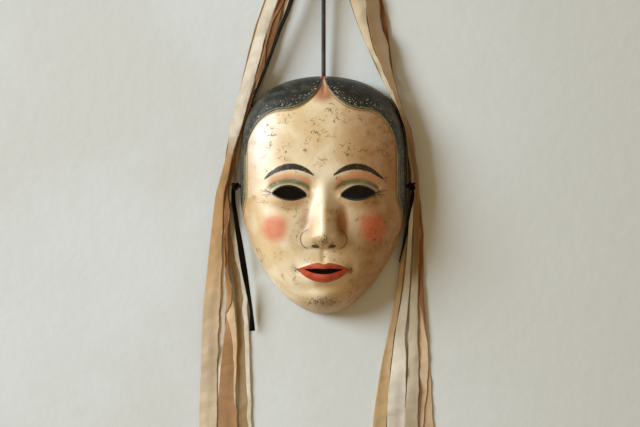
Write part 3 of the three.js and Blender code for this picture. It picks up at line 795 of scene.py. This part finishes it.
def lacquered_face():
    """All the paint of the front: ground, make-up, hair and everything time has done to it."""
    finish, tree, surface = new_finish("painted wood")
    place, x, y, z = place_in_mm(tree)
    side = x.size()
    fine_cloud = mottle(place, 0.12, detail=5, rough=0.6)
    # A hand-held brush never runs quite true.
    drift = (mottle(place, 0.14, detail=2) - 0.5) * 2.2
    lips, lip_shade = lip_paint(y, side, drift, fine_cloud)
    brow, gaps = brow_strokes(place, side + drift, y)
    black_line, rim = eye_lines(y, side)
    # Thin brown arcs behind the wings of the nose, and black nostrils: painted shade in the nostril holes.
    arc = from_middle(side, y, 12.5, NOSE_BASE + 7, 1, 1.05).near(8.2, 0.55) * side.ramp(13, 16)
    nostril = from_middle(side - (y - NOSE_BASE) * 0.5, y, 7, NOSE_BASE + 0.6, 3.5, 1.6)
    # Hair: green-black with an ochre and olive double line along its lower edge.
    above_edge = above_hair_edge(place, x, y, side)
    hair = above_edge.ramp(-0.25, 0.25)
    sheen = mottle(place, (0.05, 0.16, 0.1), detail=4).ramp(0.45, 0.75)
    crown_mark = from_middle(side, y, 0, 108.5, 3.6, 3) + (fine_cloud - 0.5) * 0.8
    coat = painted(
        ivory_with_make_up(place, x, y, side, fine_cloud),
        ((86, 54, 28), arc * 0.85),
        (lip_shade, lips),
        ((24, 22, 20), brow * (1 - gaps)),
        ((16, 15, 14), black_line.most(nostril.ramp(1.15, 0.85))),
        ((132, 104, 56), above_edge.near(-1.35, 0.95) * 0.9),
        (painted((24, 27, 25), ((58, 66, 60), sheen)), hair),
        ((116, 120, 80), above_edge.near(1.2, 0.6) * hair * 0.85),
        ((170, 92, 62), crown_mark.ramp(1.1, 0.7)))
    coat, broken, damage = aged(tree, coat, place, x, y, z, side, above_edge, hair)
    # Cut edges inside the eye openings are painted near-black, as painted shade.
    deep = rim.ramp(0.05, -0.1) * (((side - EYE_X) / EYE_HALF) ** 2).ramp(1.1, 1.0)
    dusty = dusted(place, painted(coat, ((20, 18, 15), deep)), 0.12)
    gloss = 0.33 + fine_cloud * 0.16 + broken * 0.4 + Field(dusty["Roughness"]) * 0.3
    set_inputs(surface, {"Base Color": dusty["Colour"], "Roughness": gloss, "Specular IOR Level": 0.4,
                         "Coat Weight": 0.1, "Coat Roughness": 0.36})
    height = fine_cloud * 0.5 - damage + hair * 0.1 + brow * 0.12 + lips * 0.1
    raised(surface, height, 0.0005, 0.9)
    return finish


def hollowed_wood():
    """The unpainted hollow, dark with handling."""
    finish, tree, surface = new_finish("hollowed wood")
    place = place_in_mm(tree)[0]
    timber = place_group(tree, wood, {"Place": place})
    handled = mottle(place, 0.05, detail=4).ramp(0.35, 0.65)
    tone = painted(timber["Colour"], ((66, 44, 27), handled))
    set_inputs(surface, {"Base Color": dusted(place, tone, 0.15)["Colour"], "Roughness": 0.7})
    raised(surface, Field(timber["Height"]), 0.0003)
    return finish


carved.materials.append(lacquered_face())
carved.materials.append(hollowed_wood())
facing = np.zeros(len(carved.polygons) * 3)
carved.polygons.foreach_get("normal", facing)
middle = np.zeros(len(carved.polygons) * 3)
carved.polygons.foreach_get("center", middle)
facing, middle = facing.reshape(-1, 3), middle.reshape(-1, 3)
carved.polygons.foreach_set("material_index", (facing[:, 2] < -0.05).astype(np.int32))
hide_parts("mask_shell")
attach(mask, "root")


# ---- Cloth strips ----
# Eight strips of thin cotton torn to a narrow width, four on each side, undyed or stained with
# tea and rust. Hanging has twisted them and folded their edges under; the ends are cut straight.
STRIPS = {
    # node: flat width, turns (+1 or -1: right or left edge folded under; 2 or -2: folded over on
    # top), then for the face and for the back: the colour high up, the colour further down, the
    # colour at the cut end, and the height of the first change
    "strip_left_grey": (16, 2, ((196, 162, 112), (226, 190, 138), (174, 150, 112), 100),
                        ((200, 190, 166), (226, 212, 184), (238, 230, 212), 100)),
    "strip_left_white": (14, 1, ((156, 114, 62), (238, 230, 212), (230, 220, 198), -40),
                         ((156, 114, 62), (214, 190, 150), (214, 190, 150), 0)),
    "strip_left_peach": (18, 2, ((160, 108, 58), (186, 144, 98), (158, 122, 80), -66),
                         ((140, 94, 50), (232, 202, 164), (232, 204, 170), -66)),
    "strip_left_cream": (19, 1, ((248, 240, 222), (212, 172, 118), (222, 206, 178), 52),
                         ((166, 128, 76), (166, 128, 76), (190, 160, 118), 0)),
    "strip_right_olive": (16, -1, ((144, 124, 76), (204, 174, 128), (204, 174, 124), -60),
                          ((150, 128, 78), (170, 140, 96), (180, 150, 106), 0)),
    "strip_right_rust": (18, -2, ((142, 88, 46), (200, 172, 136), (202, 174, 140), -105),
                         ((142, 88, 46), (212, 182, 144), (214, 192, 160), 12)),
    "strip_right_white": (19, 1, ((226, 208, 172), (224, 216, 196), (226, 220, 202), 60),
                          ((150, 126, 80), (150, 126, 80), (190, 172, 136), 0)),
    "strip_right_tan": (17, 1, ((144, 110, 66), (204, 192, 166), (190, 176, 150), -74),
                        ((116, 84, 48), (136, 100, 58), (160, 128, 84), 0)),
}
CLOTH_THICK = 0.4 * MM
FOLD_GAP = 0.95 * MM
SLICE = 2.0 * MM
BIN = 0.5 * MM
top, bottom = cad_box[1][1], cad_box[0][1]
slice_count = int(round((top - bottom) / SLICE)) + 1
slice_y = np.linspace(top, bottom, slice_count)
bins = np.arange(-0.14, 0.14, BIN)
laid_top = np.zeros((slice_count, len(bins)))


def cad_slices(node):
    """Place across and seen width of a strip's solid, for each height up the face."""
    co = np.array([v.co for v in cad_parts[node].data.vertices])
    keys = np.round(co[:, 1], 5)
    rows = []
    for key in sorted(set(keys), reverse=True):
        part = co[keys == key]
        rows.append([key, (part[:, 0].min() + part[:, 0].max()) / 2, np.ptp(part[:, 0])])
    return np.array(rows)


def folded(width, shown, turned, count=37):
    """Outline across a strip whose spare width is turned back, layer by layer, under it or over it."""
    s = np.linspace(0, width, count)
    shown = min(shown, width)
    across, up = s.copy(), np.zeros(count)
    folds = int(width / shown - 1e-6)
    for fold in range(1, folds + 1):
        past = s - fold * shown
        bend = 0.5 * FOLD_GAP
        turn_back = np.sqrt(past ** 2 + bend ** 2)
        way = 1 if fold % 2 else -1
        centre = shown if fold % 2 else 0.0
        across = np.where(past > -0.5 * shown, centre - way * turn_back, across)
        up = up + FOLD_GAP * smoothstep(-bend, bend, past)
    if abs(turned) == 1:
        up = -up
    across = across - shown / 2
    return (across if turned > 0 else -across), up - up.min()


def cloth_finish(name, tones, flat_width, seed):
    """Cotton dyed in bands down the strip and stained, with painted shade down its middle, in its creases
    and between its threads, and a painted highlight along its edges.
    """
    high_tone, low_tone, end_tone, change = tones
    finish, tree, surface = new_finish("cotton " + name)
    place, _, y, _ = place_in_mm(tree)
    cloth_place, across, along = across_and_along(tree)
    threads = place_group(tree, weave, {"Across": across, "Along": along, "Threads": 1900.0})
    slub = mottle(cloth_place, (2400, 130, 1), shift=(seed * 3.1, 0, 0))
    stain = mottle(place, (0.05, 0.016, 0.05), detail=4, blur=0.5, shift=(seed * 7.3, seed, 0))
    # Soft creases left from being crumpled, lying more or less across the strip.
    crumple = mottle(place, (0.028, 0.055, 0.05), detail=1.5, shift=(seed * 4.9, seed * 2, 0))
    fold = ((crumple - 0.5) ** 2.0 + 0.0003).root()
    middle = across / (flat_width * MM) - 0.5
    deep = tuple(v * 0.66 for v in low_tone)
    pale = tuple(min(255, v * 1.12 + 8) for v in low_tone)
    tone = painted(
        low_tone,
        (high_tone, (y + (stain - 0.5) * 50 + across * 1500 - change).ramp(-12, 12)),
        (end_tone, (y + (stain - 0.5) * 70 - change).ramp(-60, -230)),
        (deep, stain.ramp(0.52, 0.8) * 0.35),
        (deep, slub.ramp(0.5, 0.85) * 0.35),
        # Painted shade down the middle of the strip, in patches, and a painted highlight along its two
        # edges.
        (deep, middle.near(0, 0.2) * stain.ramp(0.3, 0.6) * 0.4),
        (pale, middle.size().ramp(0.475, 0.495) * 0.5),
        # Painted shade along the creases and between the threads.
        (deep, fold.near(0, 0.04) * stain.ramp(0.4, 0.65) * 0.16),
        (deep, (1 - Field(threads["Shade"])) * 0.4))
    dusty = dusted(place, tone, 0.08)["Colour"]
    set_inputs(surface, {"Base Color": dusty, "Roughness": 0.88, "Sheen Weight": 0.12})
    raised(surface, Field(threads["Height"]) * 0.3 + slub * 0.7 + fold * 14, 0.0002)
    return finish


def smoothed(values, reach):
    kernel = np.exp(-np.linspace(-2, 2, 2 * reach + 1) ** 2)
    padded = np.pad(values, reach, mode="edge")
    return np.convolve(padded, kernel / kernel.sum(), mode="valid")


def binding_floor(y):
    """Height of the lower turns of the binding, which the strips climb onto."""
    return (0.3 + 3.2 * smoothstep(232, 270, y / MM)) * MM


def crease(place, number):
    """Sharp-crested soft folds, between -1 and 1, at a place in metres."""
    return 1 - 2.6 * abs(noise.noise(Vector((place[0] * 30, place[1] * 42, number * 5.1))))


def slice_at(y):
    """Which slice of laid_top a height up the face falls in."""
    return min(int(round((top - y) / (slice_y[0] - slice_y[1]))), slice_count - 1)


def laid_outlines(number, flat, turned, heights, across, shown):
    """A strip's outline at each height, waved and leaning, and how high it lies over the others."""
    free = smoothstep(262, 225, heights / MM)
    outlines, base = [], []
    for k, y in enumerate(heights):
        kink = crease((0.3, y), number + 20)
        sway = noise.noise(Vector((number * 3.3, y * 22, 5)))
        lean = 0.24 * noise.noise(Vector((number * 9.1, y * 17, 2)))
        u, v = folded(flat * MM, shown[k] * (1 + free[k] * (0.06 * kink - 0.02)), turned)
        u = u + across[k] + free[k] * (0.7 * sway + 0.35 * kink) * MM
        waves = np.array([crease((a, y), number)
                          + 0.45 * crease((2.3 * a + 1.4 * y, 2.6 * y), number + 40) for a in u])
        bow = np.cos(np.clip((u - across[k]) / (shown[k] + MM), -0.5, 0.5) * math.pi)
        v = v + free[k] * ((0.55 * waves + 0.5 * sway * bow) * MM + lean * (u - across[k]))
        v -= v.min()
        outlines.append((u, v))
        under = np.interp(u, bins, laid_top[slice_at(y)])
        base.append(max((under - v).max() + 0.3 * MM, binding_floor(y)))
    return outlines, smoothed([max(base[max(0, k - 4):k + 5]) for k in range(len(base))], 6)


def cloth_skin(flat, turned, heights, outlines, base, walked):
    """Points of a strip's two sides with their places on the cloth, and marks what is now laid."""
    points, around = [], []
    for k, y in enumerate(heights):
        u, v = outlines[k]
        z = base[k] + v + 0.5 * CLOTH_THICK
        laid = laid_top[slice_at(y)]
        for a, b in zip(u, z):
            near = np.abs(bins - a) <= 1.5 * BIN
            laid[near] = np.maximum(laid[near], b + 0.5 * CLOTH_THICK)
        run, rise = np.gradient(u), np.gradient(z)
        half = math.copysign(0.5 * CLOTH_THICK, turned) / np.hypot(run, rise)
        out_u, out_z = -rise * half, run * half
        points += [(a, y, b) for a, b in zip(u + out_u, z + out_z)]
        points += [(a, y, b) for a, b in zip((u - out_u)[::-1], (z - out_z)[::-1])]
        width = [flat * MM * n / (len(u) - 1) for n in range(len(u))]
        around += [(a, walked[k]) for a in width + width[::-1]]
    return points, around


def cloth_faces(rows, ring, turned):
    """Squares all round a strip, and squares that close its two cut ends."""
    faces = []
    for r in range(rows - 1):
        for c in range(ring):
            after = (c + 1) % ring
            quad = [r * ring + c, (r + 1) * ring + c, (r + 1) * ring + after, r * ring + after]
            faces.append(quad if turned > 0 else quad[::-1])
    for first in (0, (rows - 1) * ring):
        for c in range(ring // 2 - 1):
            quad = [first + c, first + c + 1, first + ring - 2 - c, first + ring - 1 - c]
            faces.append(quad if (turned > 0) == (first == 0) else quad[::-1])
    return faces


for number, (node, (flat, turned, face_tones, back_tones)) in enumerate(STRIPS.items()):
    rows = cad_slices(node)
    heights = slice_y[(slice_y <= rows[0, 0]) & (slice_y >= rows[-1, 0])]
    if rows[-1, 0] < heights[-1] - 0.3 * MM:
        heights = np.append(heights, rows[-1, 0])
    across = smoothed(np.interp(-heights, -rows[:, 0], rows[:, 1]), 4)
    shown = smoothed(np.interp(-heights, -rows[:, 0], rows[:, 2]), 3)
    outlines, base = laid_outlines(number, flat, turned, heights, across, shown)
    walked = walked_along(np.stack([across, heights, base], axis=1))
    points, around = cloth_skin(flat, turned, heights, outlines, base, walked)
    ring = len(points) // len(heights)
    faces = cloth_faces(len(heights), ring, turned)
    strip = mesh_piece(node.replace("strip_", "cloth_"), points, faces, around)
    name = node.removeprefix("strip_").replace("_", " ")
    strip.data.materials.append(cloth_finish(name, face_tones, flat, number))
    strip.data.materials.append(cloth_finish(name + " back", back_tones, flat, number + 9))
    sides = np.zeros(len(strip.data.polygons), np.int32)
    sides[:(len(heights) - 1) * ring] = np.tile(np.arange(ring) >= ring // 2, len(heights) - 1)
    strip.data.polygons.foreach_set("material_index", sides)
    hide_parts(node)
    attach(strip, "root")


# ---- Binding ----
# Five turns of the brown cord drawn tight round the gathered strips.
TURNS = 5
BINDING_Y, BINDING_HALF, BINDING_WALL, HALF_WIDE, HALF_HIGH = (v * MM for v in (292, 10, 2.8, 13.5, 6.8))
turn = np.linspace(0, 2 * math.pi * TURNS, 420)


def squared(values):
    return np.sign(values) * np.abs(values) ** 0.5


lap = np.stack([(HALF_WIDE + 1.4 * MM) * squared(np.cos(turn)),
                BINDING_Y - BINDING_HALF + 2 * MM + (2 * BINDING_HALF - 4 * MM) * turn / turn[-1],
                BINDING_WALL + HALF_HIGH + (HALF_HIGH + 0.9 * MM) * squared(np.sin(turn))], axis=1)
points, faces, around = laid_cord(curve_through(lap[::3], 700), 1.9 * MM, 9 * MM)
binding = mesh_piece("wound_binding", points, faces, around)
dress([binding], brown_cord)
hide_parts("cord_binding")


# ---- Floor and light ----
# A plain pale plastered surface, painted a little darker to the right and darker again towards the window,
# as painted shade, and the soft low daylight of one big window to the left.
plane = mesh_piece("floor", [(-4, -4, 0), (4, -4, 0), (4, 4, 0), (-4, 4, 0)], [(0, 1, 2, 3)])
finish, tree, surface = new_finish("pale plaster")
place, x, _, _ = place_in_mm(tree)
wash = mottle(place, 0.004, detail=5)
# Painted shade: under the window the floor is painted darker, so that it looks evenly lit from the side too.
pale = painted((220, 228, 230), ((214, 220, 219), wash.ramp(0.4, 0.6)),
               ((203, 208, 204), x.ramp(-40, 330)), ((150, 154, 151), x.ramp(-420, -1900)))
set_inputs(surface, {"Base Color": pale, "Roughness": 1.0, "Specular IOR Level": 0.0})
raised(surface, mottle(place, 0.08, detail=5), 0.0006, 0.5)
plane.data.materials.append(finish)

WINDOW_PLACE = (-2.6, 1.0, 1.5)
window = bpy.data.lights.new("window", "AREA")
window.shape = "RECTANGLE"
window.size, window.size_y = 1.5, 1.6
window.energy = 54
sky = bpy.data.lights.new("sky", "SUN")
sky.angle = math.radians(26)
sky.energy = 2.55
for light in (window, sky):
    light.color = (0.85, 0.93, 1.0)
    lamp = bpy.data.objects.new(light.name, light)
    lamp.location = WINDOW_PLACE
    lamp.rotation_euler = (Vector((0.05, 0, 0)) - lamp.location).to_track_quat("-Z", "Y").to_euler()
    bpy.context.scene.collection.objects.link(lamp)
room = bpy.data.worlds.new("room")
room.use_nodes = True
tree = room.node_tree
# The room gives back a warm dim glow, and looks pale where the floor ends.
glow = tree.nodes["Background"]
set_inputs(glow, {"Color": (1.0, 0.7, 0.38, 1), "Strength": 0.37})
backdrop = new_node(tree, "Background", {"Color": colour((206, 205, 195))})
seen = new_node(tree, "LightPath", {}).outputs["Is Camera Ray"]
either = new_node(tree, "MixShader", {0: seen, 1: glow.outputs[0], 2: backdrop.outputs[0]})
set_inputs(tree.nodes["World Output"], {"Surface": either.outputs[0]})
bpy.context.scene.world = room
bpy.context.scene.view_settings.view_transform = "Standard"
